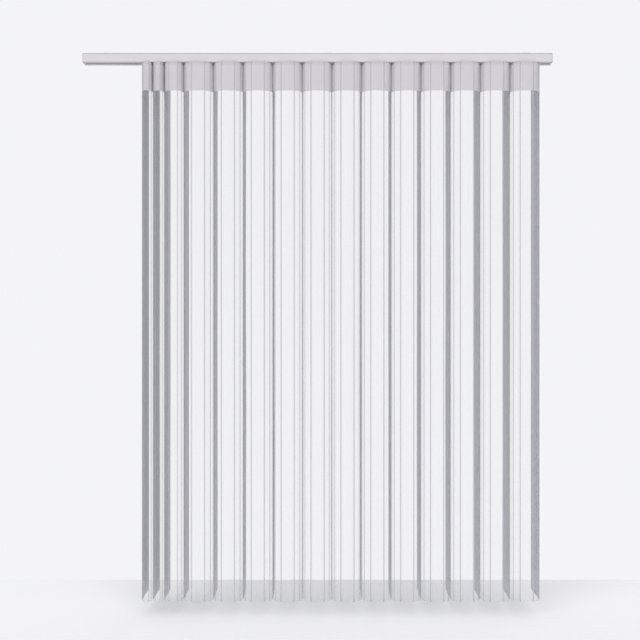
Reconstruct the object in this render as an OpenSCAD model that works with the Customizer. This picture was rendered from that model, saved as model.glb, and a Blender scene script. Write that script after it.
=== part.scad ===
// Vertical blind with sheer bays: a headrail fixed from above carries a row of trucks.
// Each truck holds a pivoting fabric blade, and a sheer panel hangs between each pair of trucks.
// Units are millimetres. +X runs along the rail, -Y is the front, +Z is up.
// The origin lies in the fixing plane, midway between the two outer fixing screws.

/* [Layout] */
// Length of the headrail with its two end caps
rail_length = 1737; // [900:10:2600]
// Number of blades, one on each truck
blade_count = 16; // [4:1:16]
// Distance between blades that are fully spread
spread_pitch = 110; // [80:1:130]
// Distance between the blades gathered at the leading end
gathered_pitch = 41.5; // [30:0.5:80]
// Number of gathered bays at the leading end
gathered_bays = 2; // [1:1:4]
// Width of the bay that is closing up behind the gathered ones
closing_pitch = 72; // [40:1:110]
// Distance from the last blade's pivot to the end of the rail
last_inset = 45; // [40:1:80]
// Smallest distance between two blades when their trucks are stacked
stacked_pitch = 26; // [26:0.5:30]

/* [Headrail] */
// Depth of the headrail from its front to its back
rail_depth = 48; // [40:1:70]
// Height of the headrail's front face
rail_face = 30; // [28:0.5:45]
// Wall thickness of the headrail
rail_wall = 1.4; // [1:0.1:2.5]
// Radius of the headrail's long outer edges
rail_edge_radius = 1.6; // [0.8:0.1:1.8]
// Width of the slot under the headrail
slot_width = 12; // [11:0.5:16]
// Height of the guide ribs that stand beside the slot
guide_rib_height = 3; // [2:0.25:5]
// Height of the neck between the rail's shoulders and its clip head
neck_height = 2.4; // [1.8:0.1:4]
// Thickness of the clip head on top of the rail
head_thickness = 1.4; // [1:0.1:2.5]
// Set-back of the neck from the front and back faces
neck_inset = 5; // [4.2:0.1:8]
// Overhang of the clip head past its neck
head_overhang = 1.6; // [1:0.1:2]
// Width of the screw channel along the top of the rail
channel_width = 33; // [20:0.5:34]
// Depth of the screw channel along the top of the rail
channel_depth = 3.2; // [2:0.1:3.6]

/* [End caps] */
// Thickness of each end cap outside the rail
cap_thickness = 9; // [4:0.5:14]
// Length of the spigot that plugs the rail
spigot_length = 12; // [6:0.5:16]
// Gap between the spigot and the inside of the rail
spigot_clearance = 0.25; // [0.15:0.05:0.5]
// Wall thickness of the hollow spigot
spigot_wall = 2; // [1.2:0.1:3]
// Radius of the bearing boss for the tilt rod
bearing_boss_radius = 5; // [4.5:0.1:7]

/* [Brackets] */
// Distance from the end of the rail to the middle of the outer bracket near it
bracket_inset = 97; // [40:1:300]
// Place of the middle bracket to the right of the rail's middle
middle_bracket_offset = 36; // [-150:1:150]
// Length of a bracket along the rail
bracket_length = 30; // [20:1:60]
// Thickness of the bracket plate
bracket_plate = 1.8; // [1.2:0.1:3]
// Thickness of the bracket's clip lips
bracket_lip = 1.5; // [1:0.1:2.5]
// Radius of the fixing screw's hole
screw_hole_radius = 2.5; // [2:0.1:3.5]
// Gap between the bracket's lips and the rail's clip head
clip_clearance = 0.2; // [0.1:0.05:0.4]
// Height of the toe that hooks under the clip head
toe_height = 1; // [0.8:0.1:1.2]

/* [Tilt rod] */
// Outer radius of the tilt rod
rod_radius = 3; // [2.5:0.1:3.6]
// Radius of the three flutes along the tilt rod
flute_radius = 1; // [0.6:0.1:1.4]
// Running gap between the rod and its bearings
rod_clearance = 0.05; // [0.03:0.01:0.1]
// Gap between the rod and the bore of each truck
rod_bore_gap = 0.6; // [0.5:0.05:1]
// Place of the rod behind the blades' pivot line
rod_back = 11.5; // [11:0.25:13]
// Height of the rod above the inside floor of the rail
rod_lift = 13; // [10:0.25:16]

/* [Trucks] */
// Gap left between two stacked trucks
truck_gap = 2; // [1:0.25:3]
// Width of a truck across the rail
truck_width = 37; // [36:0.5:39]
// Height of a truck's moulded body
truck_height = 20; // [18:0.5:21]
// Gap between the guide ribs and the truck above them
truck_rib_gap = 0.8; // [0.6:0.1:1.5]
// Radius of a truck's wheels
wheel_radius = 5; // [4:0.25:6]
// Width of a truck's wheels
wheel_width = 3; // [2:0.1:3.2]
// Distance between the front and rear wheels of a truck
wheel_base = 13; // [11:0.5:14]
// Running gap under the wheels
wheel_gap = 0.5; // [0.4:0.05:0.8]
// Radius of the recess in each wheel's face
wheel_recess_radius = 3.2; // [2:0.1:3.5]
// Depth of the recess in each wheel's face
wheel_recess_depth = 0.8; // [0.4:0.1:1.2]
// Radius of the truck's neck in the rail's slot
truck_neck_radius = 5.2; // [5:0.05:5.3]
// Distance of the neck's end above the underside of the rail
truck_neck_lift = 0.3; // [0.1:0.1:1]

/* [Spacer links] */
// Width of a spacer link
link_width = 8; // [6:0.25:8.5]
// Thickness of a spacer link
link_thickness = 0.5; // [0.4:0.05:0.7]
// Distance between the layers in which the links slide past each other
link_layer_pitch = 1.4; // [1.2:0.05:1.6]
// Length of a link past the next truck's pivot
link_tail = 7; // [4:0.5:10]
// Gap between the links and the slot they slide in
link_gap = 0.6; // [0.5:0.05:0.8]
// Place of the links in front of the blades' pivot line
link_front = 12; // [11.8:0.1:12.4]
// Height of the lowest link layer above the bottom of the truck
link_lift = 4; // [3:0.25:8]

/* [Blades] */
// Drop of the fabric from top to bottom
fabric_drop = 1988; // [800:1:2600]
// Gap between the rail and the top of the fabric
fabric_top_gap = 1.5; // [1:0.1:20]
// Width of a blade from its pivot edge to its free edge
blade_width = 127; // [89:1:140]
// Thickness of the blade's fabric
blade_thickness = 0.9; // [0.6:0.05:1.5]
// Thickness of the blade's turned-over top hem
blade_hem_thickness = 1.8; // [1.2:0.1:2.6]
// Radius of the corded bead down the pivot edge
bead_radius = 1.2; // [0.8:0.1:1.5]
// Height of the hanger bar at the top of a blade
hanger_height = 10; // [6:0.5:20]
// Thickness of the hanger bar
hanger_thickness = 3.2; // [2.6:0.1:3.4]
// Distance from the hanger bar's end to the blade's free edge
hanger_setback = 7; // [2:0.5:30]
// Radius of the stem that turns in the truck
stem_radius = 4; // [3:0.1:4]
// Running gap between the stem and the truck's bore
stem_clearance = 0.05; // [0.03:0.01:0.1]
// Height of the stem's collar
collar_height = 2; // [1.2:0.1:3]
// Overhang of the collar past the stem
collar_overhang = 1.4; // [1:0.1:1.6]
// Gap around and under the collar
collar_gap = 0.3; // [0.2:0.05:0.5]
// Depth of the truck's collar well below the top of its body
well_depth = 9; // [6:0.5:12]

/* [Sheers] */
// Height of the dense header at the top of the sheers
header_height = 106; // [40:1:200]
// Thickness of the sheer fabric
sheer_thickness = 0.6; // [0.4:0.05:1]
// Thickness of the doubled header
header_thickness = 1.1; // [0.8:0.05:1.6]
// Forward reach of a sheer wave in front of its seams
wave_depth = 32; // [15:0.5:50]
// Gap between the sheers and the hanger bars and stems next to them
sheer_gap = 0.35; // [0.3:0.05:0.6]
// Gap between a sheer's edge and the middle of the pivot line
seam_gap = 0.3; // [0.25:0.05:1]
// Width of a pin tuck on the front of a wave, measured across the bay
tuck_width = 5; // [2:0.25:8]
// Width of a pin tuck on the flank of a wave, measured across the bay
flank_tuck_width = 2.6; // [1:0.1:5]
// Thickness of a pin tuck
tuck_thickness = 1.5; // [1:0.1:2.2]

/* [Hidden] */
$fn = 48;
overrun = 1;
// Layers in which the spacer links slide past each other
link_layers = 5;
// Wave form: how square its front is, how steep its flanks are, how straight the cloth runs from
// tuck to tuck, and how finely it is stepped
wave_front_power = 2.5;
wave_flank_power = 1.8;
crease_share = 0.45;
plain_steps = 7;
tuck_steps = 1;
heading_share = 0.002;
// Pin tucks across a bay, as shares of the bay's width
tuck_shares = [0.085, 0.295, 0.735, 0.915];

// Heights, from the fixing plane down
rail_top = -bracket_plate;
shoulder = rail_top - head_thickness - neck_height;
rail_bottom = shoulder - rail_face;
rail_floor = rail_bottom + rail_wall;
rail_ceiling = shoulder - rail_wall;
fabric_top = rail_bottom - fabric_top_gap;
fabric_bottom = fabric_top - fabric_drop;
header_bottom = fabric_top - header_height;
rod_height = rail_floor + rod_lift;
truck_bottom = rail_floor + guide_rib_height + truck_rib_gap;
truck_top = truck_bottom + truck_height;
neck_end = rail_bottom + truck_neck_lift;
well_floor = truck_top - well_depth;
collar_bottom = well_floor + collar_gap;
axle_height = rail_floor + wheel_gap + wheel_radius;

// Lengths along the rail
extrusion_length = rail_length - 2 * cap_thickness;
bracket_spacing = rail_length - 2 * bracket_inset;
last_pivot = rail_length / 2 - last_inset;
truck_length = stacked_pitch - truck_gap;
link_length = spread_pitch + link_tail;
rod_length = extrusion_length + cap_thickness;

// Inside of the rail, and the rail's neck and clip head
inside_width = rail_depth - 2 * rail_wall;
inside_height = rail_ceiling - rail_floor;
neck_width = rail_depth - 2 * neck_inset;
head_width = neck_width + 2 * head_overhang;
corner_radius = max(rail_edge_radius - rail_wall, rail_wall / 2);

// Layers of the spacer links inside a truck
slot_height = (link_layers - 1) * link_layer_pitch + link_thickness + 2 * link_gap;
slot_bottom = truck_bottom + link_lift - link_gap;

// Ends of the sheers, just in front of the pivot beads and hanger bars
seam_line = -max(hanger_thickness / 2, bead_radius) - sheer_gap;
seam_inset = seam_gap + max(header_thickness, sheer_thickness) / 2;

// Stretches of a sheer between its edges and its tucks, as shares of a bay
tuck_half_shares = [for (width = [flank_tuck_width, tuck_width, tuck_width, flank_tuck_width])
    width / spread_pitch / 2];
stretch_shares = concat(
    [0],
    [for (k = [0 : len(tuck_shares) - 1]) for (side = [-1, 1])
        tuck_shares[k] + side * tuck_half_shares[k]],
    [1]
);

// Width of the bay behind blade i, counted from the leading end
function bay_width(i) =
    i <= gathered_bays ? gathered_pitch
    : i == gathered_bays + 1 ? closing_pitch
    : spread_pitch;

// Place of blade i along the rail, measured back from the last one
function pivot_x(i) = i >= blade_count ? last_pivot : pivot_x(i + 1) - bay_width(i);

// Two-digit node name
function numbered(name, i) = str(name, i < 10 ? "_0" : "_", i);

// Forward reach of a wave at a share of its bay, from 0 at one seam to 1 at the other: an even wave,
// creased at the tucks
function even_reach(share) =
    wave_depth * pow(max(0, 1 - pow(abs(2 * share - 1), wave_front_power)), 1 / wave_flank_power);
crease_table = [for (share = concat([0], tuck_shares, [1])) [share, even_reach(share)]];
function wave_reach(share) =
    crease_share * lookup(share, crease_table) + (1 - crease_share) * even_reach(share);

// Place in a bay, counted in even turns so that steps close up towards the seams, where the wave is steep
function turn_of(share) = acos(1 - 2 * share);
function share_at(turn) = (1 - cos(turn)) / 2;

// Middle line of a sheer across a bay of the given width
function wave_point(width, share) =
    [seam_inset + share * (width - 2 * seam_inset), seam_line - wave_reach(share)];

function unit(v) = v / norm(v);
function left_of(v) = [-v[1], v[0]];

// Direction of the middle line at a share of the bay
function wave_heading(width, share) =
    let (before = wave_point(width, max(0, share - heading_share)))
    let (after = wave_point(width, min(1, share + heading_share)))
    unit(after - before);

// Shares stepped along stretch j; every second stretch is a tuck
function is_tuck(j) = j % 2 == 1;
function stretch_steps(j) =
    let (from = turn_of(stretch_shares[j]), to = turn_of(stretch_shares[j + 1]))
    let (steps = is_tuck(j) ? tuck_steps : plain_steps)
    [for (k = [0 : steps]) share_at(from + (to - from) * k / steps)];

// One face of a sheer: its middle line moved sideways by half its thickness, which is more at the tucks
function wave_face(width, thickness, side) =
    [for (j = [0 : len(stretch_shares) - 2])
        let (half = max(thickness, is_tuck(j) ? tuck_thickness : thickness) / 2)
        for (share = stretch_steps(j))
            wave_point(width, share) + side * half * left_of(wave_heading(width, share))];

function reversed(list) = [for (k = [len(list) - 1 : -1 : 0]) list[k]];

// Runs a flat outline, drawn as depth and height, along the rail
module along_rail(length) {
    rotate([90, 0, 90])
        linear_extrude(height = length, center = true)
            children();
}

module rounded_rectangle(width, height, radius) {
    translate([-width / 2, radius])
        square([width, height - 2 * radius]);
    translate([-width / 2 + radius, 0])
        square([width - 2 * radius, height]);
    for (side = [-1, 1])
        for (level = [radius, height - radius])
            translate([side * (width / 2 - radius), level])
                circle(radius);
}

// Outline of the rail's box and its clip head, without the hollow
module rail_outline() {
    translate([0, rail_bottom])
        rounded_rectangle(rail_depth, rail_face, rail_edge_radius);
    translate([-neck_width / 2, rail_ceiling])
        square([neck_width, rail_top - rail_ceiling]);
    translate([-head_width / 2, rail_top - head_thickness])
        square([head_width, head_thickness]);
}

module rail_section() {
    difference() {
        rail_outline();
        translate([0, rail_floor])
            rounded_rectangle(inside_width, inside_height, corner_radius);
        translate([-slot_width / 2, rail_bottom - overrun])
            square([slot_width, rail_wall + 2 * overrun]);
        translate([-channel_width / 2, rail_top - channel_depth])
            square([channel_width, channel_depth + overrun]);
    }
    for (side = [-1, 1])
        translate([side * (slot_width + rail_wall) / 2 - rail_wall / 2, rail_bottom])
            square([rail_wall, rail_wall + guide_rib_height]);
}

module headrail() {
    color([0.87, 0.86, 0.88])
        along_rail(extrusion_length)
            rail_section();
}

// Cap for the right-hand end, with a hollow spigot and the rod's bearing
module end_cap() {
    spigot_width = inside_width - 2 * spigot_clearance;
    spigot_height = inside_height - 2 * spigot_clearance;
    rib_relief_width = slot_width + 2 * (rail_wall + spigot_clearance);
    difference() {
        union() {
            translate([extrusion_length / 2 + cap_thickness / 2, 0, 0])
                along_rail(cap_thickness)
                    rail_outline();
            translate([(extrusion_length - spigot_length) / 2, 0, 0])
                along_rail(spigot_length)
                    difference() {
                        translate([0, rail_floor + spigot_clearance])
                            rounded_rectangle(spigot_width, spigot_height, corner_radius);
                        translate([0, rail_floor + spigot_clearance + spigot_wall])
                            rounded_rectangle(
                                spigot_width - 2 * spigot_wall,
                                spigot_height - 2 * spigot_wall,
                                corner_radius
                            );
                        translate([-rib_relief_width / 2, rail_bottom])
                            square([rib_relief_width, rail_wall + guide_rib_height + spigot_clearance]);
                    }
            translate([(extrusion_length - spigot_length) / 2, rod_back, rod_height])
                rotate([0, 90, 0])
                    cylinder(r = bearing_boss_radius, h = spigot_length, center = true);
        }
        translate([extrusion_length / 2 - spigot_length - overrun, rod_back, rod_height])
            rotate([0, 90, 0])
                cylinder(
                    r = rod_radius + rod_clearance,
                    h = spigot_length + (rod_length - extrusion_length) / 2 + overrun + collar_gap
                );
    }
}

module end_cap_right() {
    color([0.84, 0.83, 0.85])
        end_cap();
}

module end_cap_left() {
    color([0.84, 0.83, 0.85])
        mirror([1, 0, 0])
            end_cap();
}

// Ceiling bracket: a plate whose lips hook under the rail's clip head
module bracket(x) {
    outside_width = head_width + 2 * (clip_clearance + bracket_lip);
    lip_middle = (outside_width - bracket_lip) / 2;
    toe_width = head_overhang + bracket_lip;
    toe_top = rail_top - head_thickness - clip_clearance;
    color([0.9, 0.9, 0.92])
        translate([x, 0, 0])
            difference() {
                along_rail(bracket_length)
                    union() {
                        translate([-outside_width / 2, rail_top])
                            square([outside_width, bracket_plate]);
                        for (side = [-1, 1]) {
                            translate([side * lip_middle, (toe_top - toe_height) / 2])
                                square([bracket_lip, toe_height - toe_top], center = true);
                            translate([side * (outside_width - toe_width) / 2, toe_top - toe_height / 2])
                                square([toe_width, toe_height], center = true);
                        }
                    }
                translate([0, 0, -bracket_plate - overrun])
                    cylinder(r = screw_hole_radius, h = bracket_plate + 2 * overrun);
            }
}

// Round rod with three flutes, borne in both end caps
module tilt_rod() {
    color([0.72, 0.73, 0.75])
        translate([0, rod_back, rod_height])
            along_rail(rod_length)
                difference() {
                    circle(rod_radius);
                    for (turn = [0 : 120 : 240])
                        rotate(turn)
                            translate([rod_radius, 0])
                                circle(flute_radius);
                }
}

module wheel(side) {
    rotate([90, 0, 0])
        difference() {
            cylinder(r = wheel_radius, h = wheel_width, center = true);
            translate([0, 0, -side * wheel_width / 2])
                cylinder(r = wheel_recess_radius, h = 2 * wheel_recess_depth, center = true);
        }
}

// Spacer link that trails from truck i towards the leading end
module spacer_link(i) {
    layer = i % link_layers;
    level = truck_bottom + link_lift + layer * link_layer_pitch;
    root = truck_length / 2;
    translate([-link_length, -link_front - link_width / 2, level])
        cube([link_length - root / 2, link_width, link_thickness]);
    translate([-root + overrun, -link_front - link_width / 2 - link_gap - overrun, level])
        cube([root / 2, link_width + 2 * link_gap + 2 * overrun, link_thickness]);
}

module truck(i) {
    bore_length = truck_length + 2 * overrun;
    color([0.93, 0.93, 0.94])
        translate([pivot_x(i), 0, 0]) {
            difference() {
                union() {
                    translate([-truck_length / 2, -truck_width / 2, truck_bottom])
                        cube([truck_length, truck_width, truck_height]);
                    translate([0, 0, neck_end])
                        cylinder(r = truck_neck_radius, h = truck_bottom - neck_end + overrun);
                    for (end = [-1, 1])
                        for (side = [-1, 1])
                            translate([
                                end * wheel_base / 2,
                                side * (truck_width + wheel_width) / 2,
                                axle_height
                            ])
                                wheel(side);
                }
                translate([0, 0, neck_end - overrun])
                    cylinder(r = stem_radius + stem_clearance, h = well_floor - neck_end + 2 * overrun);
                translate([0, 0, well_floor])
                    cylinder(r = stem_radius + collar_overhang + collar_gap, h = well_depth + overrun);
                translate([0, rod_back, rod_height])
                    rotate([0, 90, 0])
                        cylinder(r = rod_radius + rod_bore_gap, h = bore_length, center = true);
                translate([
                    -truck_length / 2 - overrun,
                    -link_front - link_width / 2 - link_gap,
                    slot_bottom
                ])
                    cube([bore_length, link_width + 2 * link_gap, slot_height]);
            }
            if (i > 1)
                spacer_link(i);
        }
}

// Fabric blade that turns about the bead on its front edge, with its hanger bar and stem
module blade(i) {
    stem_bottom = fabric_top + sheer_gap;
    stem_top = collar_bottom + collar_height;
    color([0.62, 0.63, 0.65])
        translate([pivot_x(i), 0, 0]) {
            translate([-blade_thickness / 2, 0, fabric_bottom])
                cube([blade_thickness, blade_width, fabric_drop]);
            translate([-blade_hem_thickness / 2, 0, header_bottom])
                cube([blade_hem_thickness, blade_width, header_height]);
            translate([0, 0, fabric_bottom])
                cylinder(r = bead_radius, h = fabric_drop);
            translate([-hanger_thickness / 2, 0, fabric_top - hanger_height])
                cube([hanger_thickness, blade_width - hanger_setback, hanger_height]);
            translate([0, 0, fabric_top - hanger_height])
                cylinder(r = hanger_thickness / 2, h = stem_top - fabric_top + hanger_height);
            translate([0, 0, stem_bottom])
                cylinder(r = stem_radius, h = stem_top - stem_bottom);
            translate([0, 0, collar_bottom])
                cylinder(r = stem_radius + collar_overhang, h = collar_height);
        }
}

// Flat section of a sheer across a bay, with its pin tucks
module sheer_section(width, thickness) {
    polygon(concat(wave_face(width, thickness, 1), reversed(wave_face(width, thickness, -1))));
}

// Sheer panel in the bay behind blade i: a fine drop below a doubled header
module sheer(i) {
    width = bay_width(i);
    color([0.9, 0.9, 0.92])
        translate([pivot_x(i), 0, 0]) {
            translate([0, 0, fabric_bottom])
                linear_extrude(height = header_bottom - fabric_bottom)
                    sheer_section(width, sheer_thickness);
            translate([0, 0, header_bottom])
                linear_extrude(height = header_height)
                    sheer_section(width, header_thickness);
        }
}

headrail();
end_cap_left();
end_cap_right();
bracket(-bracket_spacing / 2);  // bracket_left
bracket(middle_bracket_offset);  // bracket_middle
bracket(bracket_spacing / 2);  // bracket_right
tilt_rod();
for (i = [1 : blade_count]) truck(i);
for (i = [1 : blade_count]) blade(i);
for (i = [1 : blade_count - 1]) sheer(i);
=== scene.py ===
"""Vertical blind with sheer bays: cloth, finishes and studio stage around the packed frame."""
import math

import bmesh
import bpy
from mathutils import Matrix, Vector


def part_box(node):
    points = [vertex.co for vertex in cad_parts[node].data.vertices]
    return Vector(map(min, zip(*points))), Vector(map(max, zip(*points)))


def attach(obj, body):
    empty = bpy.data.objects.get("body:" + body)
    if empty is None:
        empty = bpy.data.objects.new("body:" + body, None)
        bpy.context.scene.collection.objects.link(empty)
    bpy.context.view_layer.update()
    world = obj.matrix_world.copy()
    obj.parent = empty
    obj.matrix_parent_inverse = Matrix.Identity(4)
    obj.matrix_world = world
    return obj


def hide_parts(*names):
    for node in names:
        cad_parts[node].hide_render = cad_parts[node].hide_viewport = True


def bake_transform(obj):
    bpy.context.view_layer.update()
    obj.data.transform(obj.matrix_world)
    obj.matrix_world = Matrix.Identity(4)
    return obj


bl_info = {
    "name": "Vertical blind with sheer bays",
    "version": (1, 0, 0),
    "blender": (4, 5, 0),
    "location": "View3D > Sidebar > Blind",
    "description": "Dresses a vertical blind with its cloth, finishes and stage",
    "category": "Object",
}

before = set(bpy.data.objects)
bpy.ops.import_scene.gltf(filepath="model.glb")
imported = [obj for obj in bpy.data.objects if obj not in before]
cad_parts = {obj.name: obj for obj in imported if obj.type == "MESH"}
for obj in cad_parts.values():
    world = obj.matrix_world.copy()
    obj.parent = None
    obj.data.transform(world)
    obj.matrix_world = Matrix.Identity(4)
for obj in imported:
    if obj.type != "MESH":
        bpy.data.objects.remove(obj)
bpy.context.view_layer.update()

BLADES = [f"{i:02d}" for i in range(1, 17)]
BAYS = BLADES[:-1]
CAPS = ("end_cap_left", "end_cap_right")
BRACKETS = ("bracket_left", "bracket_middle", "bracket_right")
MM = 0.001
# Points of a cloth's rim that lie closer than this are one
MERGE_DISTANCE = 0.002 * MM
# Bands that a wave texture draws in one unit at a scale of 1
WAVE_TEXTURE_RATE = 20 / (2 * math.pi)
# Height of the relief that a bump stands for
BUMP_DISTANCE = 0.2 * MM
# Range that holds nearly all of a noise texture's values
NOISE_LOW, NOISE_HIGH = 0.3, 0.7

SHEER_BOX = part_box("sheer_08")
FABRIC_TOP = SHEER_BOX[1].z
FABRIC_BOTTOM = SHEER_BOX[0].z


def pivot(number):
    """Place along the rail of the pivot of one blade."""
    low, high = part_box(f"blade_{number}")
    return (low.x + high.x) / 2


def linear(*levels):
    """Linear colour from 8-bit display levels."""
    def one(shown):
        return shown / 12.92 if shown <= 0.04045 else ((shown + 0.055) / 1.055) ** 2.4
    return tuple(one(level / 255) for level in levels)


def length(name, description, default):
    return bpy.props.FloatProperty(
        name=name, description=description, default=default, min=0.0, unit="LENGTH", precision=5
    )


def shade(name, description, default):
    return bpy.props.FloatVectorProperty(
        name=name, description=description, default=default,
        size=3, min=0.0, max=1.0, subtype="COLOR",
    )


def angle(name, description, degrees):
    return bpy.props.FloatProperty(
        name=name, description=description, default=math.radians(degrees), subtype="ANGLE"
    )


def fraction(name, description, default):
    return bpy.props.FloatProperty(
        name=name, description=description, default=default, min=0.0, max=1.0, subtype="FACTOR"
    )


class SheerSettings(bpy.types.PropertyGroup):
    """Sizes and colours of the sheer panels"""
    header: length("Header", "Height of the doubled header", 106 * MM)
    seam_line: length("Seam line", "Distance of the seams in front of the pivots", 1.95 * MM)
    seam_inset: length("Seam inset", "Distance of a panel's edge from its pivot", 0.85 * MM)
    wave_depth: length("Wave depth", "Forward reach of a wave", 32 * MM)
    thickness: length("Thickness", "Thickness of the sheer", 0.6 * MM)
    header_thickness: length("Header thickness", "Thickness of the doubled header", 1.1 * MM)
    tuck_width: length("Tuck width", "Width of a pin tuck on the front of a full wave", 5 * MM)
    flank_tuck: length("Flank tuck width", "Width of a pin tuck on the flank of a full wave", 2.6 * MM)
    tuck_thickness: length("Tuck thickness", "Thickness of a pin tuck", 1.5 * MM)
    full_bay: length("Full bay", "Width of a fully spread bay", 110 * MM)
    slack: length("Slack", "Most that the hanging cloth strays from its even wave", 1.6 * MM)
    stitch_pitch: length("Stitch pitch", "Distance between the header's stitches", 3.6 * MM)
    stitch_length: length("Stitch length", "Length of a stitch in the header", 2.52 * MM)
    thread_radius: length("Thread radius", "Radius of the header's thread", 0.22 * MM)
    seam_lift: length("Seam lift", "Height of the stitches above the header's lower edge", 2.5 * MM)
    colour: shade("Sheer", "Colour of the fine yarn", linear(223, 223, 228))
    header_colour: shade("Header", "Colour of the doubled header", linear(213, 211, 216))
    # Darker than the voile: painted shade of each tuck's fold
    tuck_colour_with_shade: shade("Tucks", "Colour of the pin tucks", linear(196, 196, 202))
    # Darker than the header: painted shade of each tuck's fold, which also darkens the wave's flanks
    # at the flank tucks
    ridge_colour_with_shade: shade("Header tucks", "Colour of the pin tucks in the header", linear(197, 195, 200))
    cover: fraction("Cover", "Share of the view that the fine cloth stops", 0.26)
    header_cover: fraction("Header cover", "Share of the view that the header stops", 0.95)
    tuck_cover: fraction("Tuck cover", "Share of the view that a tuck stops", 0.74)


class BladeSettings(bpy.types.PropertyGroup):
    """Sizes and colours of the blades and their hangers"""
    width: length("Width", "Width of a blade from its pivot to its free edge", 127 * MM)
    thickness: length("Thickness", "Thickness of the blade cloth", 0.9 * MM)
    hem: length("Hem", "Height of the turned-over top hem", 106 * MM)
    hem_thickness: length("Hem thickness", "Thickness of the hem", 1.8 * MM)
    bead: length("Bead", "Radius of the corded front edge", 1.2 * MM)
    curl: length("Curl", "Sideways curl of the free edge halfway down", 2.2 * MM)
    stitch_pitch: length("Stitch pitch", "Distance between hem stitches", 4 * MM)
    stitch_length: length("Stitch length", "Length of a hem stitch", 2.88 * MM)
    thread_radius: length("Thread radius", "Radius of the hem's thread", 0.28 * MM)
    seam_lift: length("Seam lift", "Height of the stitches above the hem's lower edge", 3 * MM)
    seam_start: length("Seam start", "Distance from the pivot to the hem's first stitch", 3 * MM)
    seam_end: length("Seam end", "Distance from the hem's last stitch to the free edge", 1 * MM)
    hanger_thickness: length("Hanger thickness", "Thickness of the hanger bar", 3.2 * MM)
    hanger_height: length("Hanger height", "Height of the hanger bar", 10 * MM)
    hanger_setback: length("Hanger setback", "Distance from the hanger's end to the free edge", 7 * MM)
    stem: length("Stem", "Radius of the stem", 4 * MM)
    stem_lift: length("Stem lift", "Gap between the cloth and the stem", 0.35 * MM)
    collar: length("Collar", "Radius of the stem's collar", 5.4 * MM)
    collar_height: length("Collar height", "Height of the stem's collar", 2 * MM)
    chamfer: length("Chamfer", "Width of the softened edges of the hanger and the stem", 0.3 * MM)
    colour: shade("Blade", "Colour of the blade cloth", linear(185, 186, 191))
    thread: shade("Thread", "Colour of the sewing thread", linear(206, 206, 210))
    hanger_colour: shade("Hanger", "Colour of the moulded hanger", linear(226, 226, 229))


class RailSettings(bpy.types.PropertyGroup):
    """Colours of the headrail and its fittings"""
    paint: shade("Rail", "Colour of the coated rail", linear(208, 206, 207))
    # A touch darker than the rail: painted shade on the end caps
    cap: shade("Caps", "Colour of the moulded end caps", linear(206, 204, 206))
    zinc: shade("Brackets", "Colour of the plated brackets", linear(214, 214, 217))
    rod: shade("Rod", "Colour of the tilt rod", linear(186, 188, 193))
    truck: shade("Trucks", "Colour of the moulded trucks", linear(232, 232, 230))


class StageSettings(bpy.types.PropertyGroup):
    """Camera, floor and light"""
    eye: bpy.props.FloatVectorProperty(
        name="Eye", description="Place of the camera", default=(0.009, -3.303, -0.988),
        size=3, subtype="TRANSLATION", unit="LENGTH",
    )
    lens: bpy.props.FloatProperty(
        name="Lens", description="Focal length in millimetres", default=50.0, min=1.0, unit="CAMERA"
    )
    sensor: bpy.props.FloatProperty(
        name="Sensor", description="Width of the picture on the sensor in millimetres",
        default=36.0, min=1.0, unit="CAMERA",
    )
    floor_gap: length("Floor gap", "Distance from the cloth down to the floor", 60 * MM)
    floor_side: length("Floor side", "Reach of the floor to each side", 4.0)
    floor_near: length("Floor front", "Reach of the floor in front of the blind", 4.0)
    floor_far: length("Floor back", "Reach of the floor behind the blind", 0.45)
    floor: shade("Floor", "Colour of the floor", linear(252, 252, 253))
    surround: shade("Surround", "Colour of the plain surround", linear(244, 244, 246))
    air: fraction("Air", "Share of the surround's light that reaches the blind", 0.66)
    key_strength: bpy.props.FloatProperty(
        name="Key", description="Strength of the light from the front left", default=1.55, min=0.0
    )
    key_spread: angle("Key spread", "How wide the light from the front left is", 80.0)
    key_side: angle("Key side", "How far to the left the light stands", 10.0)
    key_height: angle("Key height", "How high the light stands", 34.0)


class Tree:
    """A node tree under construction, with short calls for its nodes and links."""

    def __init__(self, tree):
        self.tree = tree

    def put(self, socket, value):
        if isinstance(value, bpy.types.NodeSocket):
            self.tree.links.new(value, socket)
        elif value is not None:
            socket.default_value = value

    def node(self, kind, inputs=None, **settings):
        made = self.tree.nodes.new(kind)
        for name, value in settings.items():
            setattr(made, name, value)
        for key, value in (inputs or {}).items():
            held = made.inputs
            self.put(held[key] if isinstance(key, int) else self.find(held, key), value)
        return made

    @staticmethod
    def find(sockets, name):
        """Socket in use with this name."""
        return next(s for s in sockets if s.name == name and s.enabled)

    def math(self, operation, first, second=None, third=None):
        made = self.node("ShaderNodeMath", operation=operation)
        for socket, value in zip(made.inputs, (first, second, third)):
            self.put(socket, value)
        return made.outputs[0]

    def add(self, first, second):
        return self.math("ADD", first, second)

    def less(self, first, second):
        return self.math("SUBTRACT", first, second)

    def times(self, first, second):
        return self.math("MULTIPLY", first, second)

    def over(self, first, second):
        return self.math("DIVIDE", first, second)

    def ramp(self, value, low, high, start, end):
        made = self.node("ShaderNodeMapRange", {
            "Value": value, "From Min": low, "From Max": high, "To Min": start, "To Max": end,
        })
        return made.outputs["Result"]

    def vector(self, operation, *values):
        return self.node(
            "ShaderNodeVectorMath", dict(enumerate(values)), operation=operation
        ).outputs[0]

    def scaled(self, vector, factor):
        made = self.node("ShaderNodeVectorMath", operation="SCALE")
        self.put(made.inputs[0], vector)
        self.put(made.inputs["Scale"], factor)
        return made.outputs[0]

    def joined(self, x, y, z):
        return self.node("ShaderNodeCombineXYZ", {"X": x, "Y": y, "Z": z}).outputs[0]


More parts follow.
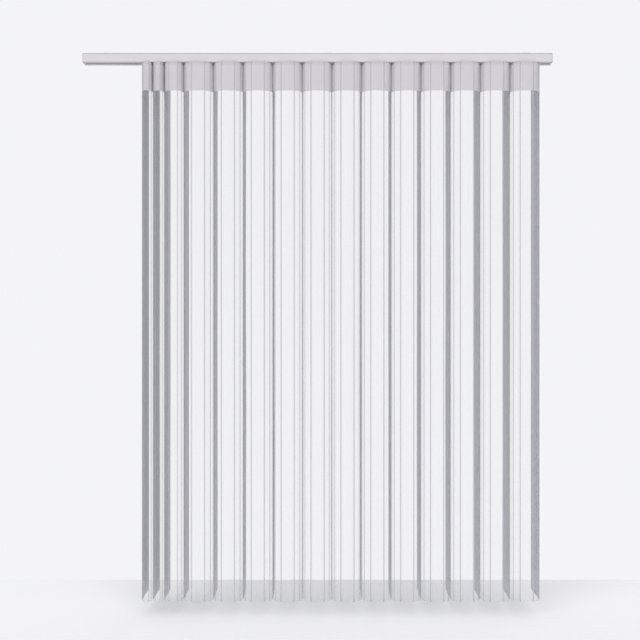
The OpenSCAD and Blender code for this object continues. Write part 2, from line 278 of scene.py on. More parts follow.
class ShapeTree(Tree):
    """A Geometry Nodes tree with named inputs."""

    def __init__(self, name):
        super().__init__(bpy.data.node_groups.new(name, "GeometryNodeTree"))
        self.tree.interface.new_socket(
            name="Geometry", in_out="OUTPUT", socket_type="NodeSocketGeometry"
        )
        self.identifiers = {}
        self.source = self.tree.nodes.new("NodeGroupInput")

    def input(self, name, kind="NodeSocketFloat"):
        made = self.tree.interface.new_socket(name=name, in_out="INPUT", socket_type=kind)
        self.identifiers[name] = made.identifier
        return self.source.outputs[name]

    def inputs(self, *names):
        return [self.input(name) for name in names]

    def store(self, geometry, name, value, data_type="FLOAT", domain="POINT"):
        return self.node("GeometryNodeStoreNamedAttribute", {
            "Geometry": geometry, "Name": name, "Value": value,
        }, data_type=data_type, domain=domain).outputs["Geometry"]

    def stored(self, name, data_type="FLOAT"):
        made = self.node("GeometryNodeInputNamedAttribute", {"Name": name}, data_type=data_type)
        return self.find(made.outputs, "Attribute")

    def moved(self, geometry, position=None, offset=None, selection=None):
        return self.node("GeometryNodeSetPosition", {
            "Geometry": geometry, "Selection": selection, "Position": position, "Offset": offset,
        }).outputs[0]

    def grid(self, columns, rows):
        """Flat grid whose shares across and up are stored as across and up."""
        made = self.node("GeometryNodeMeshGrid", {
            "Size X": 1.0, "Size Y": 1.0, "Vertices X": columns + 1, "Vertices Y": rows + 1,
        })
        place = self.node("ShaderNodeSeparateXYZ", {
            "Vector": self.node("GeometryNodeInputPosition").outputs[0],
        })
        half = 0.5
        geometry = self.store(made.outputs["Mesh"], "across", self.add(place.outputs["X"], half))
        return self.store(geometry, "up", self.add(place.outputs["Y"], half))

    def thickened(self, geometry, half):
        """Closed cloth of two faces and a rim, made from one face and half its thickness."""
        way = self.node("GeometryNodeInputNormal").outputs[0]
        geometry = self.store(geometry, "way", way, "FLOAT_VECTOR")
        geometry = self.store(geometry, "half", half)
        reach = self.scaled(self.stored("way", "FLOAT_VECTOR"), self.stored("half"))
        back = self.scaled(reach, -1.0)
        raised = self.node("GeometryNodeExtrudeMesh", {
            "Mesh": geometry, "Offset Scale": 0.0, "Individual": False,
        }, mode="FACES")
        body = self.store(raised.outputs["Mesh"], "front", raised.outputs["Top"], "BOOLEAN", "FACE")
        front = self.stored("front", "BOOLEAN")
        behind = self.node("FunctionNodeBooleanMath", {0: front}, operation="NOT").outputs[0]
        body = self.moved(body, offset=reach, selection=front)
        body = self.moved(body, offset=back, selection=behind)
        lining = self.node("GeometryNodeFlipFaces", {"Mesh": geometry}).outputs[0]
        lining = self.moved(lining, offset=back)
        both = self.node("GeometryNodeJoinGeometry")
        for part in (lining, body):
            self.tree.links.new(part, both.inputs[0])
        return self.node("GeometryNodeMergeByDistance", {
            "Geometry": both.outputs[0], "Distance": MERGE_DISTANCE,
        }).outputs[0]

    def finish(self, geometry, *coats):
        """Ends the tree: realizes the shape and paints each material where its selection holds."""
        geometry = self.node("GeometryNodeRealizeInstances", {"Geometry": geometry}).outputs[0]
        geometry = self.node("GeometryNodeSetShadeSmooth", {"Geometry": geometry}).outputs[0]
        for selection, material in coats:
            geometry = self.node("GeometryNodeSetMaterial", {
                "Geometry": geometry, "Selection": selection, "Material": material,
            }).outputs[0]
        end = self.tree.nodes.new("NodeGroupOutput")
        self.tree.links.new(geometry, end.inputs[0])

    def piece(self, name, values):
        """Plain mesh object made by the tree with these inputs."""
        made = bpy.data.objects.new(name, bpy.data.meshes.new(name))
        bpy.context.scene.collection.objects.link(made)
        modifier = made.modifiers.new("shape", "NODES")
        modifier.node_group = self.tree
        for title, value in values.items():
            modifier[self.identifiers[title]] = value
        depsgraph = bpy.context.evaluated_depsgraph_get()
        mesh = bpy.data.meshes.new_from_object(made.evaluated_get(depsgraph), depsgraph=depsgraph)
        made.modifiers.remove(modifier)
        empty, made.data = made.data, mesh
        bpy.data.meshes.remove(empty)
        mesh.name = name
        if not mesh.polygons:
            raise RuntimeError(f"{name} came out empty")
        return made


class Coat(Tree):
    """A procedural material under construction."""

    def __init__(self, name, **constants):
        self.material = bpy.data.materials.new(name)
        self.material.use_nodes = True
        super().__init__(self.material.node_tree)
        self.shader = self.tree.nodes["Principled BSDF"]
        for title, value in constants.items():
            self.shader.inputs[title.replace("_", " ")].default_value = value

    def place(self, kind="Object"):
        return self.node("ShaderNodeTexCoord").outputs[kind]

    def stretched(self, vector, scale):
        return self.node("ShaderNodeMapping", {"Vector": vector, "Scale": scale}).outputs[0]

    def noise(self, vector, scale, detail=2.0, roughness=0.5):
        return self.node("ShaderNodeTexNoise", {
            "Vector": vector, "Scale": scale, "Detail": detail, "Roughness": roughness,
        }).outputs["Fac"]

    def bands(self, vector, pitch, direction):
        """Even bands, one to each pitch along the direction."""
        return self.node("ShaderNodeTexWave", {
            "Vector": vector, "Scale": 1 / (pitch * WAVE_TEXTURE_RATE), "Distortion": 0.0,
        }, wave_type="BANDS", bands_direction=direction).outputs["Fac"]

    def tone(self, fac, colour, low, high):
        """Colour that runs from low to high times itself as fac goes from 0 to 1."""
        made = self.node("ShaderNodeMix", {"Factor": fac}, data_type="RGBA")
        sides = [s for s in made.inputs if s.type == "RGBA"]
        for socket, factor in zip(sides, (low, high)):
            socket.default_value = (*(min(1.0, c * factor) for c in colour), 1.0)
        return [s for s in made.outputs if s.type == "RGBA"][0]

    def spread(self, noise, low, high):
        """Value that runs from low to high over the usual range of a noise."""
        return self.ramp(noise, NOISE_LOW, NOISE_HIGH, low, high)

    def vary(self, colour=None, roughness=None, height=None, strength=0.1, alpha=None):
        """Links what varies over the surface to the shader."""
        for title, value in (("Base Color", colour), ("Roughness", roughness), ("Alpha", alpha)):
            if value is not None:
                self.put(self.shader.inputs[title], value)
        if height is not None:
            bump = self.node("ShaderNodeBump", {
                "Height": height, "Strength": strength, "Distance": BUMP_DISTANCE,
            })
            self.put(self.shader.inputs["Normal"], bump.outputs[0])
        return self.material


# Distances between the threads of the cloths and the turns of the sewing thread
SHEER_WEAVE = 0.6 * MM
BLADE_WEAVE = 1.0 * MM
THREAD_TWIST = 0.6 * MM
# Streaks in the cloths, as how many there are to a metre across and down
SHEER_YARNS = (900.0, 5.0, 1.0)
SHEER_STRIPES = (160.0, 1.2, 1.0)
BLADE_YARNS = (900.0, 12.0, 1.0)
BLADE_SLUBS = (40.0, 900.0, 1.0)
BLADE_CLOUD = (14.0, 5.0, 1.0)
# Grain drawn out along the rail and the rod, and grain that is even all round
RAIL_DRAW = (1.5, 900.0, 900.0)
ROD_DRAW = (0.02, 1.0, 1.0)
EVEN = (1.0, 1.0, 1.0)


def weave(coat, vector, pitch):
    """Height of a plain weave with this thread pitch."""
    warp = coat.bands(vector, pitch, "X")
    weft = coat.bands(vector, pitch, "Y")
    return coat.math("MAXIMUM", warp, weft)


def sheer_coat(name, colour, cover, streak):
    """Fine voile: uneven yarns run down it, and its cover strays by the streak from yarn to yarn."""
    coat = Coat(
        name, Roughness=0.82, Specular_IOR_Level=0.18, Sheen_Weight=0.15, Sheen_Roughness=0.5
    )
    cloth = coat.place("UV")
    yarns = coat.noise(coat.stretched(cloth, SHEER_YARNS), 1.0, 3.0, 0.6)
    stripes = coat.noise(coat.stretched(cloth, SHEER_STRIPES), 1.0, 3.0, 0.6)
    mixed = coat.add(coat.times(yarns, 0.45), coat.times(stripes, 0.55))
    return coat.vary(
        colour=coat.tone(coat.ramp(mixed, 0.35, 0.65, 0.0, 1.0), colour, 0.94, 1.05),
        roughness=coat.spread(yarns, 0.76, 0.88),
        height=weave(coat, cloth, SHEER_WEAVE),
        strength=0.12,
        alpha=coat.spread(yarns, max(0.0, cover - streak), min(1.0, cover + streak)),
    )


def blade_coat(colour):
    """Close plain weave with slubs both ways."""
    coat = Coat(
        "blade_cloth", Roughness=0.85, Specular_IOR_Level=0.2, Sheen_Weight=0.2, Sheen_Roughness=0.5
    )
    cloth = coat.place("UV")
    slubs = coat.noise(coat.stretched(cloth, BLADE_SLUBS), 1.0, 3.0, 0.6)
    yarns = coat.noise(coat.stretched(cloth, BLADE_YARNS), 1.0, 3.0, 0.6)
    cloud = coat.noise(coat.stretched(cloth, BLADE_CLOUD), 1.0)
    streaks = coat.add(slubs, yarns)
    mixed = coat.add(coat.times(streaks, 0.35), coat.times(cloud, 0.3))
    return coat.vary(
        colour=coat.tone(coat.ramp(mixed, 0.38, 0.62, 0.0, 1.0), colour, 0.92, 1.08),
        roughness=coat.spread(slubs, 0.78, 0.92),
        height=coat.add(weave(coat, cloth, BLADE_WEAVE), coat.times(streaks, 0.5)),
        strength=0.3,
    )


def thread_coat(colour):
    """Twisted sewing thread."""
    coat = Coat("sewing_thread", Roughness=0.6, Specular_IOR_Level=0.3, Sheen_Weight=0.2)
    here = coat.place()
    twist = coat.bands(here, THREAD_TWIST, "DIAGONAL")
    fuzz = coat.noise(here, 700.0, 3.0)
    return coat.vary(
        colour=coat.tone(fuzz, colour, 0.9, 1.06),
        roughness=coat.spread(fuzz, 0.52, 0.7),
        height=twist, strength=0.3,
    )


def moulded_coat(name, colour, rough, grain):
    """Moulded plastic with a fine spark-eroded grain and a faint cloud from the mould's flow."""
    coat = Coat(name, Roughness=rough, Specular_IOR_Level=0.45)
    here = coat.place()
    fine = coat.noise(here, grain)
    flow = coat.noise(here, 22.0)
    return coat.vary(
        colour=coat.tone(flow, colour, 0.96, 1.03),
        roughness=coat.spread(fine, rough - 0.06, rough + 0.08),
        height=fine, strength=0.12,
    )


def rail_coat(colour):
    """Satin powder coat: orange peel, a faint cloud and the draw lines of the metal under it."""
    coat = Coat(
        "rail_paint", Roughness=0.42, Specular_IOR_Level=0.45, Coat_Weight=0.08, Coat_Roughness=0.3
    )
    here = coat.place()
    peel = coat.noise(here, 520.0)
    drawn = coat.noise(coat.stretched(here, RAIL_DRAW), 1.0)
    cloud = coat.noise(here, 6.0)
    height = coat.add(coat.times(peel, 0.7), coat.times(drawn, 0.3))
    return coat.vary(
        colour=coat.tone(cloud, colour, 0.965, 1.025),
        roughness=coat.ramp(height, 0.35, 0.65, 0.36, 0.5),
        height=height, strength=0.1,
    )


def metal_coat(name, colour, scale, rough, stretch):
    """Bare or plated metal with a drawn or crystalline grain."""
    coat = Coat(name, Roughness=rough, Metallic=1.0)
    here = coat.stretched(coat.place(), stretch)
    grain = coat.noise(here, scale, 3.0)
    crystals = coat.node("ShaderNodeTexVoronoi", {"Vector": here, "Scale": scale / 4})
    cells = crystals.outputs["Distance"]
    mixed = coat.add(coat.times(grain, 0.7), coat.times(cells, 0.3))
    return coat.vary(
        colour=coat.tone(mixed, colour, 0.88, 1.1),
        roughness=coat.spread(grain, rough - 0.08, rough + 0.1),
        height=grain, strength=0.08,
    )


def floor_coat(colour):
    """Plain matt floor."""
    coat = Coat("studio_floor", Roughness=0.95, Specular_IOR_Level=0.0, Emission_Strength=0.06)
    cloud = coat.noise(coat.place(), 0.8)
    return coat.vary(colour=coat.tone(cloud, colour, 0.995, 1.0))


# Wave form: how square its front is, how steep its flanks are, and how straight the cloth runs
# from tuck to tuck
WAVE_FRONT_POWER = 2.5
WAVE_FLANK_POWER = 1.8
CREASE_SHARE = 0.45
# Pin tucks across a bay, as shares of its width, and the stretches between them
TUCK_SHARES = (0.085, 0.295, 0.735, 0.915)
CREASES = (0.0, *TUCK_SHARES, 1.0)
STRETCHES = tuple(zip(CREASES, CREASES[1:]))
# Height of a tuck's crest from which it has the tuck's material
TUCK_EDGE = 0.02
# Faces whose height is within this of a header or a hem belong to it
HEIGHT_MARGIN = 0.01 * MM
# Strays of the hanging cloth, as how many there are across and to a metre down
SHEER_STRAYS = (2.0, 1.7)
BLADE_STRAYS = (6.0, 1.4)
# Width of the stem's foot in the cloth, as a share of the hanger bar's thickness
STEM_NECK_SHARE = 0.9
# Step of the noise's seed from one piece to the next
SHEER_SEED = 5.3
BLADE_SEED = 3.7
# Share of a bay that a row of stitches leaves bare at each end
SEAM_MARGIN = 0.02
# Share of a bay over which the direction of a stitch is read
SEAM_STEP = 0.004


def wave_share(tree, across):
    """Share of a bay, stepped more closely near its seams where the wave is steep."""
    turn = tree.math("COSINE", tree.times(across, math.pi))
    return tree.times(tree.less(1.0, turn), 0.5)


def even_reach(part):
    """Share of the wave's depth that an even wave reaches at a share of its bay."""
    return max(0.0, 1 - abs(2 * part - 1) ** WAVE_FRONT_POWER) ** (1 / WAVE_FLANK_POWER)


def creased_reach(part):
    """Share of the wave's depth that the wave reaches, creased at the tucks."""
    straight = 0.0
    for low, high in STRETCHES:
        done = min(1.0, max(0.0, (part - low) / (high - low)))
        straight += done * (even_reach(high) - even_reach(low))
    return CREASE_SHARE * straight + (1 - CREASE_SHARE) * even_reach(part)


def wave_reach(tree, share_of_bay, depth):
    """Forward reach of the wave at a share of its bay: an even wave, creased at the tucks."""
    off = tree.math("ABSOLUTE", tree.less(tree.times(share_of_bay, 2.0), 1.0))
    square = tree.math("MAXIMUM", tree.less(1.0, tree.math("POWER", off, WAVE_FRONT_POWER)), 0.0)
    reach = tree.times(tree.math("POWER", square, 1.0 / WAVE_FLANK_POWER), 1 - CREASE_SHARE)
    for low, high in STRETCHES:
        rise = CREASE_SHARE * (even_reach(high) - even_reach(low))
        reach = tree.add(reach, tree.ramp(share_of_bay, low, high, 0.0, rise))
    return tree.times(depth, reach)


def stray_of(tree, place, seed, most):
    """Stray of the hanging cloth at a place, to either side by this much at most."""
    made = tree.node("ShaderNodeTexNoise", {
        "Vector": place, "W": seed, "Scale": 1.0, "Detail": 1.0,
    }, noise_dimensions="4D")
    return tree.times(tree.less(made.outputs["Fac"], 0.5), tree.times(most, 2.0))


def wave_position(tree, share_of_bay, height):
    """Point of a panel's middle face; the tree's inputs give the bay."""
    start, width, inset, seam, depth, slack, seed = tree.bay
    span = tree.less(width, tree.times(inset, 2.0))
    x = tree.add(tree.add(start, inset), tree.times(share_of_bay, span))
    strays, falls = SHEER_STRAYS
    place = tree.joined(tree.times(share_of_bay, strays), seed, tree.times(height, falls))
    free = tree.times(tree.times(share_of_bay, tree.less(1.0, share_of_bay)), 4.0)
    stray = tree.times(stray_of(tree, place, seed, slack), free)
    reach = tree.add(wave_reach(tree, share_of_bay, depth), stray)
    y = tree.less(tree.times(seam, -1.0), reach)
    return tree.joined(x, y, height)


def bay_inputs(tree):
    """Gives the tree the inputs that say where its bay is and how its wave runs."""
    tree.bay = tree.inputs("Start", "Width", "Seam inset", "Seam line", "Wave depth", "Slack", "Seed")


def store_height(tree, geometry, rows, band_rows, top, bottom, band):
    """Stores each row's height, with the last rows spread over the band at the top."""
    split = 1.0 - band_rows / rows
    up, band_bottom = tree.stored("up"), tree.less(top, band)
    drop = tree.ramp(up, 0.0, split, bottom, band_bottom)
    rise = tree.ramp(up, split, 1.0, 0.0, band)
    return tree.store(geometry, "height", tree.add(drop, rise)), band_bottom


def ground_of(tree, height, band_bottom, plain, doubled):
    """Thickness of the cloth, which is doubled in the band at its top."""
    in_band = tree.math("GREATER_THAN", height, tree.less(band_bottom, HEIGHT_MARGIN))
    return tree.add(plain, tree.times(in_band, tree.less(doubled, plain)))


def stitch_line(tree, count):
    """Points of a row of stitches, and each one's share along the row."""
    line = tree.node("GeometryNodeMeshLine", {
        "Count": tree.node("FunctionNodeFloatToInt", {0: count}).outputs[0],
        "Offset": (0.0, 0.0, 0.0),
    })
    index = tree.node("GeometryNodeInputIndex").outputs[0]
    return line.outputs[0], tree.over(tree.add(index, 0.5), count)


def stitches_on(tree, points, along, reach, radius):
    """One rounded stitch on each point, lying along this direction."""
    bead = tree.node("GeometryNodeMeshUVSphere", {"Segments": 6, "Rings": 4, "Radius": 1.0})
    turned = tree.node("FunctionNodeAlignRotationToVector", {"Vector": along}, axis="X")
    return tree.node("GeometryNodeInstanceOnPoints", {
        "Points": points, "Instance": bead.outputs[0], "Rotation": turned.outputs[0],
        "Scale": tree.joined(tree.times(reach, 0.5), radius, radius),
    }).outputs[0]


def panel_tree():
    """Sheer panel: a wave across its bay with pin tucks, doubled at its header."""
    columns, rows, header_rows = 150, 44, 6
    tree = ShapeTree("sheer_panel")
    bay_inputs(tree)
    top, bottom, header, plain, doubled, front_half, flank_half, tuck_rise, flat = tree.inputs(
        "Top", "Bottom", "Header", "Thickness", "Header thickness",
        "Tuck half share", "Flank tuck half share", "Tuck thickness", "Flat width",
    )
    voile, dense, tucked, ridged = (
        tree.input(name, "NodeSocketMaterial") for name in ("Voile", "Dense", "Tucked", "Ridged")
    )
    geometry, header_bottom = store_height(
        tree, tree.grid(columns, rows), rows, header_rows, top, bottom, header
    )
    geometry = tree.store(geometry, "share", wave_share(tree, tree.stored("across")))
    here, height = tree.stored("share"), tree.stored("height")
    geometry = tree.moved(geometry, position=wave_position(tree, here, height))
    crest = None
    for middle, half in zip(TUCK_SHARES, (flank_half, front_half, front_half, flank_half)):
        off = tree.over(tree.less(here, middle), half)
        one = tree.math("MAXIMUM", tree.less(1.0, tree.times(off, off)), 0.0)
        crest = one if crest is None else tree.math("MAXIMUM", crest, one)
    ground = ground_of(tree, height, header_bottom, plain, doubled)
    thick = tree.add(ground, tree.times(crest, tree.less(tuck_rise, ground)))
    uv = tree.joined(tree.times(here, flat), height, 0.0)
    geometry = tree.store(geometry, "UVMap", uv, "FLOAT2", "CORNER")
    geometry = tree.thickened(geometry, tree.times(thick, 0.5))
    on_header = tree.math("GREATER_THAN", height, header_bottom)
    # Tucks get the darker tuck material, which paints the shade of their folds
    on_tuck = tree.math("GREATER_THAN", crest, TUCK_EDGE)
    # Header tucks get the darker ridge material, which paints the shade of their folds and of the
    # flanks
    on_ridge = tree.times(on_tuck, on_header)
    tree.finish(geometry, (True, voile), (on_header, dense), (on_tuck, tucked), (on_ridge, ridged))
    return tree


def panel_stitch_tree():
    """Row of stitches along the lower edge of a panel's header, on its front."""
    tree = ShapeTree("header_stitches")
    bay_inputs(tree)
    height, count, proud, reach, radius = tree.inputs(
        "Height", "Count", "Proud", "Stitch length", "Thread radius"
    )
    thread = tree.input("Thread", "NodeSocketMaterial")
    line, across = stitch_line(tree, count)
    inner = tree.add(tree.times(across, 1 - 2 * SEAM_MARGIN), SEAM_MARGIN)
    geometry = tree.store(line, "share", inner)
    here = tree.stored("share")
    place = wave_position(tree, here, height)
    before = wave_position(tree, tree.less(here, SEAM_STEP), height)
    after = wave_position(tree, tree.add(here, SEAM_STEP), height)
    along = tree.vector("SUBTRACT", after, before)
    side = tree.vector("NORMALIZE", tree.vector("CROSS_PRODUCT", along, (0.0, 0.0, 1.0)))
    geometry = tree.moved(geometry, position=tree.vector("ADD", place, tree.scaled(side, proud)))
    tree.finish(stitches_on(tree, geometry, along, reach, radius), (True, thread))
    return tree


def blade_tree():
    """Flat hanging blade: a corded front edge, a doubled hem at the top and a slight curl."""
    bead_columns, columns, rows, hem_rows = 10, 34, 40, 5
    tree = ShapeTree("blade_panel")
    pivot_x, width, top, bottom, hem, plain, doubled, bead, curl, seed = tree.inputs(
        "Pivot", "Width", "Top", "Bottom", "Hem", "Thickness", "Hem thickness", "Bead", "Curl", "Seed"
    )
    cloth = tree.input("Cloth", "NodeSocketMaterial")
    geometry, hem_bottom = store_height(
        tree, tree.grid(columns, rows), rows, hem_rows, top, bottom, hem
    )
    edge, across = bead_columns / columns, tree.stored("across")
    turn = tree.math("COSINE", tree.times(tree.ramp(across, 0.0, edge, 0.0, 1.0), math.pi))
    round_y = tree.times(turn, tree.times(bead, -1.0))
    flat_y = tree.ramp(across, edge, 1.0, 0.0, tree.less(width, bead))
    geometry = tree.store(geometry, "depth", tree.add(round_y, flat_y))
    depth, height = tree.stored("depth"), tree.stored("height")
    free = tree.math("MAXIMUM", tree.over(depth, width), 0.0)
    fall = tree.ramp(height, bottom, top, 0.0, 1.0)
    belly = tree.math("SINE", tree.times(fall, math.pi))
    strays, falls = BLADE_STRAYS
    place = tree.joined(seed, tree.times(depth, strays), tree.times(height, falls))
    swing = stray_of(tree, place, seed, curl)
    bend = tree.times(tree.times(free, free), tree.times(belly, swing))
    geometry = tree.moved(geometry, position=tree.joined(tree.add(pivot_x, bend), depth, height))
    uv = tree.joined(depth, height, 0.0)
    geometry = tree.store(geometry, "UVMap", uv, "FLOAT2", "CORNER")
    in_bead = tree.less(tree.times(bead, bead), tree.times(depth, depth))
    cord = tree.math("SQRT", tree.math("MAXIMUM", in_bead, 0.0))
    ground = ground_of(tree, height, hem_bottom, plain, doubled)
    behind = tree.math("GREATER_THAN", depth, 0.0)
    half = tree.math("MAXIMUM", cord, tree.times(tree.times(ground, 0.5), behind))
    geometry = tree.thickened(geometry, half)
    tree.finish(geometry, (True, cloth))
    return tree


def hem_stitch_tree():
    """Two rows of stitches across a blade's hem, one on each face."""
    tree = ShapeTree("hem_stitches")
    pivot_x, start, end, height, count, proud, reach, radius = tree.inputs(
        "Pivot", "Start", "End", "Height", "Count", "Proud", "Stitch length", "Thread radius"
    )
    thread = tree.input("Thread", "NodeSocketMaterial")
    line, across = stitch_line(tree, count)
    y = tree.add(start, tree.times(across, tree.less(end, start)))
    rows = tree.node("GeometryNodeJoinGeometry")
    for side in (-1.0, 1.0):
        x = tree.add(pivot_x, tree.times(proud, side))
        row = tree.moved(line, position=tree.joined(x, y, height))
        tree.tree.links.new(row, rows.inputs[0])
    along = (0.0, 1.0, 0.0)
    tree.finish(stitches_on(tree, rows.outputs[0], along, reach, radius), (True, thread))
    return tree


def arc_length(width, depth, inset):
    """Length of the wave across a bay."""
    span, steps = width - 2 * inset, 2000

    def point(step):
        part = 0.5 - 0.5 * math.cos(math.pi * step / steps)
        return part * span, depth * creased_reach(part)

    return sum(math.dist(point(k), point(k + 1)) for k in range(steps))


def rings_to_mesh(shape, rings):
    """Closes a stack of equal rings of points into a capped solid."""
    made = [[shape.verts.new(point) for point in ring] for ring in rings]
    for low, high in zip(made, made[1:]):
        for k in range(len(low)):
            after = (k + 1) % len(low)
            shape.faces.new((low[k], low[after], high[after], high[k]))
    shape.faces.new(list(reversed(made[0])))
    shape.faces.new(made[-1])


def bar_ring(x, reach, radius, height, shrink):
    """Outline of the hanger bar: round at the pivot and softly rounded at its far end."""
    steps, inner = 12, radius - shrink
    back = [math.pi * k / steps for k in range(steps + 1)]
    front = [math.pi + turn for turn in back]
    ends = ((front, 0.0), (back, reach - radius))
    return [
        (x + inner * math.cos(turn), middle + inner * math.sin(turn), height)
        for turns, middle in ends for turn in turns
    ]


def turned_ring(x, radius, height, count=32):
    """Ring of a turned form about a blade's pivot."""
    turns = [2 * math.pi * k / count for k in range(count)]
    return [(x + radius * math.cos(turn), radius * math.sin(turn), height) for turn in turns]


def hanger_piece(number, size, material):
    """Hanger bar of one blade, with the collared stem on its pivot end."""
    name, x = f"hanger_{number}", pivot(number)
    shape = bmesh.new()
    radius, chamfer = size.hanger_thickness / 2, size.chamfer
    top, bottom = FABRIC_TOP, FABRIC_TOP - size.hanger_height
    reach = size.width - size.hanger_setback
    rings_to_mesh(shape, [bar_ring(x, reach, radius, height, shrink) for height, shrink in (
        (bottom, chamfer), (bottom + chamfer, 0.0), (top - chamfer, 0.0), (top, chamfer),
    )])
    stem_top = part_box(f"blade_{number}")[1].z
    collar = stem_top - size.collar_height
    foot = top + size.stem_lift
    neck = radius * STEM_NECK_SHARE
    rings_to_mesh(shape, [turned_ring(x, ring, height) for ring, height in (
        (neck, top - chamfer), (neck, foot),
        (size.stem - chamfer, foot), (size.stem, foot + chamfer), (size.stem, collar),
        (size.collar - chamfer, collar), (size.collar, collar + chamfer),
        (size.collar, stem_top - chamfer), (size.collar - chamfer, stem_top),
    )])
    mesh = bpy.data.meshes.new(name)
    bmesh.ops.recalc_face_normals(shape, faces=shape.faces)
    shape.to_mesh(mesh)
    shape.free()
    mesh.materials.append(material)
    made = bpy.data.objects.new(name, mesh)
    bpy.context.scene.collection.objects.link(made)
    return made


def one_face(cover):
    """Cover of each face of a cloth whose two faces together give this cover."""
    return 1.0 - math.sqrt(1.0 - cover)


def paint(nodes, material):
    """Gives each CAD node this material."""
    for node in nodes:
        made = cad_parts[node]
        if made.material_slots:
            for held in made.material_slots:
                held.material = material
        else:
            made.data.materials.append(material)


def lay_floor(stage):
    """Finite floor under the blind."""
    height = FABRIC_BOTTOM - stage.floor_gap
    side, near, far = stage.floor_side, -stage.floor_near, stage.floor_far
    corners = ((-side, near), (side, near), (side, far), (-side, far))
    mesh = bpy.data.meshes.new("floor")
    mesh.from_pydata([(x, y, height) for x, y in corners], [], [(0, 1, 2, 3)])
    mesh.materials.append(floor_coat(stage.floor))
    floor = bpy.data.objects.new("floor", mesh)
    bpy.context.scene.collection.objects.link(floor)


def light_air(stage):
    """Plain surround, of which only a share lights the blind."""
    world = bpy.data.worlds.new("soft_light")
    world.use_nodes = True
    air = Tree(world.node_tree)
    seen = air.node("ShaderNodeLightPath").outputs["Is Camera Ray"]
    ground = world.node_tree.nodes["Background"]
    ground.inputs["Color"].default_value = (*stage.surround, 1.0)
    air.put(ground.inputs["Strength"], air.add(air.times(seen, 1.0 - stage.air), stage.air))
    bpy.context.scene.world = world
    bpy.context.scene.view_settings.view_transform = "Standard"


def hang_key(stage):
    """Wide soft light from the front left."""
    key = bpy.data.lights.new("key", "SUN")
    key.energy, key.angle = stage.key_strength, stage.key_spread
    lamp = bpy.data.objects.new("key", key)
    level = math.cos(stage.key_height)
    beam = Vector((
        math.sin(stage.key_side) * level,
        math.cos(stage.key_side) * level,
        -math.sin(stage.key_height),
    ))
    lamp.rotation_euler = beam.to_track_quat("-Z", "Y").to_euler()
    bpy.context.scene.collection.objects.link(lamp)


def place_camera(stage):
    """Level camera that looks straight at the blind."""
    lens = bpy.data.cameras.new("camera")
    lens.lens, lens.sensor_width = stage.lens, stage.sensor
    camera = bpy.data.objects.new("camera", lens)
    camera.location = stage.eye
    camera.rotation_euler = (math.pi / 2, 0.0, 0.0)
    bpy.context.scene.collection.objects.link(camera)
    bpy.context.scene.camera = camera


class BLIND_OT_finish_rail(bpy.types.Operator):
    """Coats the headrail, its end caps and its ceiling brackets"""
    bl_idname = "blind.finish_rail"
    bl_label = "Finish rail"

    def execute(self, context):
        look = context.scene.blind_rail
        paint(("headrail",), rail_coat(look.paint))
        # The caps' slightly darker colour is painted shade
        paint(CAPS, moulded_coat("cap_plastic", look.cap, rough=0.46, grain=900.0))
        zinc = metal_coat("bracket_zinc", look.zinc, scale=260.0, rough=0.6, stretch=EVEN)
        paint(BRACKETS, zinc)
        return {"FINISHED"}


class BLIND_OT_finish_drive(bpy.types.Operator):
    """Coats the tilt rod and the trucks that run in the rail"""
    bl_idname = "blind.finish_drive"
    bl_label = "Finish drive"

    def execute(self, context):
        look = context.scene.blind_rail
        rod = metal_coat("rod_aluminium", look.rod, scale=300.0, rough=0.34, stretch=ROD_DRAW)
        paint(("tilt_rod",), rod)
        trucks = moulded_coat("truck_acetal", look.truck, rough=0.38, grain=1100.0)
        paint([f"truck_{number}" for number in BLADES], trucks)
        return {"FINISHED"}


class BLIND_OT_hang_blades(bpy.types.Operator):
    """Makes each blade with its stitched hem, hanger bar and stem"""
    bl_idname = "blind.hang_blades"
    bl_label = "Hang blades"

    def execute(self, context):
        size = context.scene.blind_blade
        cloth, sewing = blade_coat(size.colour), thread_coat(size.thread)
        moulded = moulded_coat("hanger_plastic", size.hanger_colour, rough=0.4, grain=900.0)
        panel, stitches = blade_tree(), hem_stitch_tree()
        seam_end = size.width - size.seam_end
        count = round((seam_end - size.seam_start) / size.stitch_pitch)
        for order, number in enumerate(BLADES):
            place = pivot(number)
            blade = panel.piece(f"blade_cloth_{number}", {
                "Pivot": place, "Width": size.width, "Top": FABRIC_TOP, "Bottom": FABRIC_BOTTOM,
                "Hem": size.hem, "Thickness": size.thickness, "Hem thickness": size.hem_thickness,
                "Bead": size.bead, "Curl": size.curl, "Seed": BLADE_SEED * order, "Cloth": cloth,
            })
            seam = stitches.piece(f"hem_stitches_{number}", {
                "Pivot": place, "Start": size.seam_start, "End": seam_end,
                "Height": FABRIC_TOP - size.hem + size.seam_lift, "Count": count,
                "Proud": size.hem_thickness / 2, "Stitch length": size.stitch_length,
                "Thread radius": size.thread_radius, "Thread": sewing,
            })
            hanger = hanger_piece(number, size, moulded)
            for piece in (blade, seam, hanger):
                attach(piece, f"vane_{number}")
                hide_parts(f"blade_{number}")
        return {"FINISHED"}


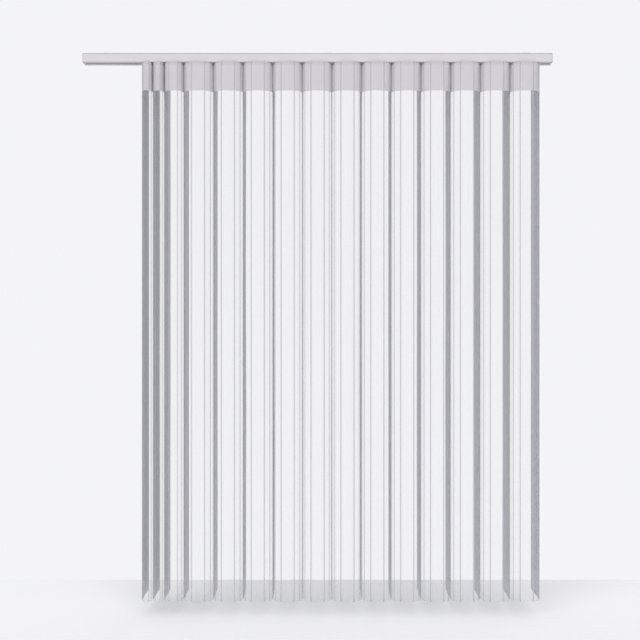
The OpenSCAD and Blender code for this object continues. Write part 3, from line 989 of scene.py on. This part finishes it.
class BLIND_OT_hang_sheers(bpy.types.Operator):
    """Makes the waved sheer panel of each bay, with the stitches under its header"""
    bl_idname = "blind.hang_sheers"
    bl_label = "Hang sheers"

    def execute(self, context):
        size = context.scene.blind_sheer
        cover, tuck_cover, header_cover = (
            one_face(share) for share in (size.cover, size.tuck_cover, size.header_cover)
        )
        coats = {
            "Voile": sheer_coat("sheer_voile", size.colour, cover, streak=0.03),
            "Dense": sheer_coat("sheer_header", size.header_colour, header_cover, streak=0.02),
            # Both tuck materials are darker than the cloth around them: painted shade of the tucks'
            # folds
            "Tucked": sheer_coat("sheer_tuck", size.tuck_colour_with_shade, tuck_cover, streak=0.02),
            "Ridged": sheer_coat("header_tuck", size.ridge_colour_with_shade, header_cover, streak=0.02),
        }
        sewing = bpy.data.materials["sewing_thread"]
        panels, stitches = panel_tree(), panel_stitch_tree()
        for order, number in enumerate(BAYS):
            after = BLADES[order + 1]
            start, width = pivot(number), pivot(after) - pivot(number)
            flat = arc_length(width, size.wave_depth, size.seam_inset)
            bay = {
                "Start": start, "Width": width,
                "Seam inset": size.seam_inset, "Seam line": size.seam_line,
                "Wave depth": size.wave_depth, "Slack": size.slack, "Seed": SHEER_SEED * order,
            }
            panel = panels.piece(f"sheer_panel_{number}", {
                **bay, **coats, "Top": FABRIC_TOP, "Bottom": FABRIC_BOTTOM, "Header": size.header,
                "Thickness": size.thickness, "Header thickness": size.header_thickness,
                "Tuck half share": size.tuck_width / size.full_bay / 2,
                "Flank tuck half share": size.flank_tuck / size.full_bay / 2,
                "Tuck thickness": size.tuck_thickness, "Flat width": flat,
            })
            seam = stitches.piece(f"header_stitches_{number}", {
                **bay, "Height": FABRIC_TOP - size.header + size.seam_lift,
                "Count": round(flat / size.stitch_pitch), "Proud": size.header_thickness / 2,
                "Stitch length": size.stitch_length, "Thread radius": size.thread_radius,
                "Thread": sewing,
            })
            for piece in (panel, seam):
                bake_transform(piece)
                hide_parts(f"sheer_{number}")
        return {"FINISHED"}


class BLIND_OT_set_stage(bpy.types.Operator):
    """Sets the floor, the light and the camera"""
    bl_idname = "blind.set_stage"
    bl_label = "Set stage"

    def execute(self, context):
        stage = context.scene.blind_stage
        for step in (lay_floor, light_air, hang_key, place_camera):
            step(stage)
        return {"FINISHED"}


class BLIND_PT_panel(bpy.types.Panel):
    """Lists the steps and settings of the blind"""
    bl_idname = "BLIND_PT_panel"
    bl_label = "Vertical blind"
    bl_space_type = "VIEW_3D"
    bl_region_type = "UI"
    bl_category = "Blind"

    def draw(self, context):
        for operator in OPERATORS:
            self.layout.operator(operator.bl_idname)
        for name, group in SETTINGS.items():
            box = self.layout.box()
            box.label(text=group.__doc__)
            for title in group.__annotations__:
                box.prop(getattr(context.scene, name), title)


SETTINGS = {
    "blind_sheer": SheerSettings,
    "blind_blade": BladeSettings,
    "blind_rail": RailSettings,
    "blind_stage": StageSettings,
}
OPERATORS = (
    BLIND_OT_set_stage,
    BLIND_OT_finish_rail,
    BLIND_OT_finish_drive,
    BLIND_OT_hang_blades,
    BLIND_OT_hang_sheers,
)
CLASSES = (*SETTINGS.values(), *OPERATORS, BLIND_PT_panel)


def register():
    for item in CLASSES:
        bpy.utils.register_class(item)
    for name, group in SETTINGS.items():
        setattr(bpy.types.Scene, name, bpy.props.PointerProperty(type=group))


def unregister():
    for name in SETTINGS:
        delattr(bpy.types.Scene, name)
    for item in reversed(CLASSES):
        bpy.utils.unregister_class(item)


def main():
    register()
    bpy.ops.blind.set_stage()
    bpy.ops.blind.finish_rail()
    bpy.ops.blind.finish_drive()
    bpy.ops.blind.hang_blades()
    bpy.ops.blind.hang_sheers()


if __name__ == "__main__":
    main()
